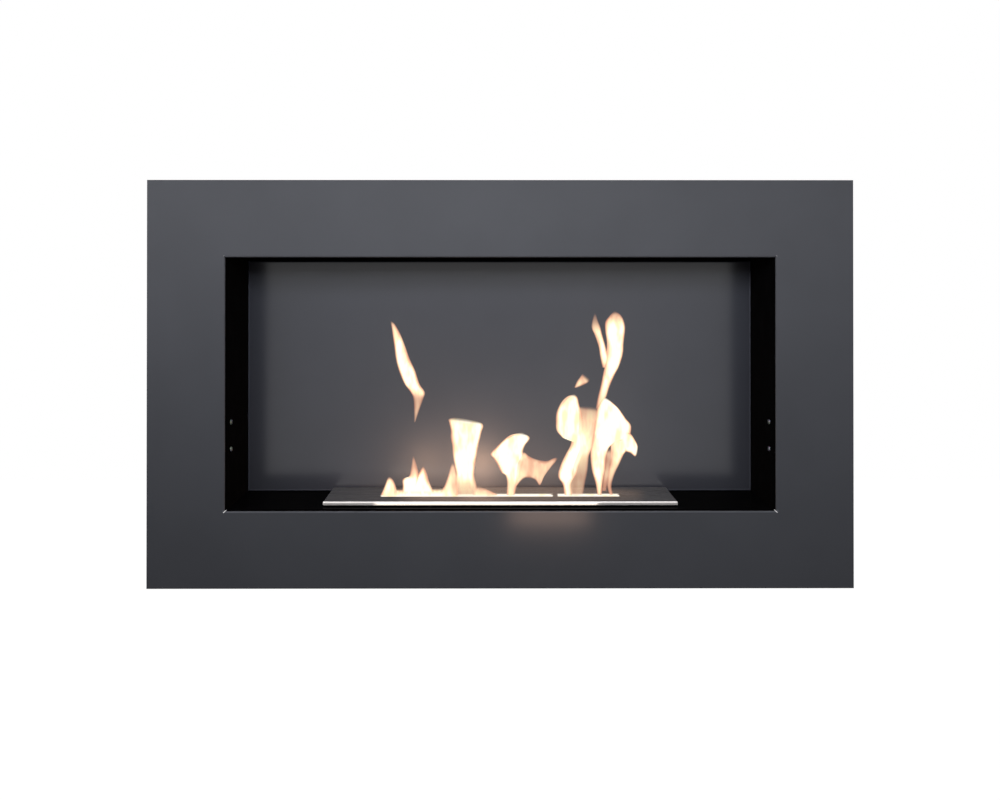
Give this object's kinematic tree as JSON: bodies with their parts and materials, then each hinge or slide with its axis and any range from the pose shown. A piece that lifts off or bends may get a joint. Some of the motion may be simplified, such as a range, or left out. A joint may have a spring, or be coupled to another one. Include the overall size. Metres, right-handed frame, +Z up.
{
  "type": "bioethanol fireplace",
  "caption": "Wall-hung bioethanol fireplace: flat graphite frame round an open black firebox, graphite back panel and lift-out steel slot burner with sliding shutter.",
  "frame": {"origin": "on the wall, at the middle of the casing's rear face, level with the middle of the front frame", "axes": "+Z up, +X right as seen from the room, +Y into the wall; the front face looks along -Y"},
  "size_m": [0.9, 0.15, 0.52],
  "materials": {
    "graphite_paint": "fine satin powder coat, graphite grey",
    "black_paint": "satin heat-resistant black",
    "brushed_steel": "brushed lengthways",
    "zinc": "dull zinc plate",
    "ceramic_wool": "matt white fibre"
  },
  "bodies": {
    "casing": {"front_frame": "graphite_paint", "back_panel": "graphite_paint", "frame_bracket_left": "black_paint", "frame_bracket_right": "black_paint", "frame_bracket_top": "black_paint", "frame_bracket_bottom": "black_paint", "casing_side_left": "black_paint", "casing_side_right": "black_paint", "casing_top": "black_paint", "casing_bottom": "black_paint", "casing_back": "black_paint", "floor_panel": "black_paint", "floor_ledge_left": "black_paint", "floor_ledge_right": "black_paint", "floor_crossbar_front": "black_paint", "floor_crossbar_rear": "black_paint", "side_screw_left_1": "zinc", "side_screw_left_2": "zinc", "side_screw_right_1": "zinc", "side_screw_right_2": "zinc", "top_screw_1": "zinc", "top_screw_2": "zinc", "top_screw_3": "zinc", "bottom_screw_1": "zinc", "bottom_screw_2": "zinc", "bottom_screw_3": "zinc", "hang_plate_left": "zinc", "hang_plate_right": "zinc", "panel_hanger_left": "zinc", "panel_hanger_right": "zinc", "panel_hook_left": "zinc", "panel_hook_right": "zinc"},
    "burner": {"burner_plate": "brushed_steel", "burner_tank": "brushed_steel", "wool_grille": "brushed_steel", "absorbent_wool": "ceramic_wool", "shutter_guide_left": "brushed_steel", "shutter_guide_right": "brushed_steel"},
    "shutter": {"shutter": "brushed_steel"}
  },
  "joints": [
    {"name": "burner_lift", "type": "slide", "parent": "casing", "child": "burner", "axis": [0, 0, 1], "range_m": [0, 0.07]},
    {"name": "shutter_slide", "type": "slide", "parent": "burner", "child": "shutter", "axis": [0, -1, 0], "range_m": [0, 0.0225]}
  ]
}
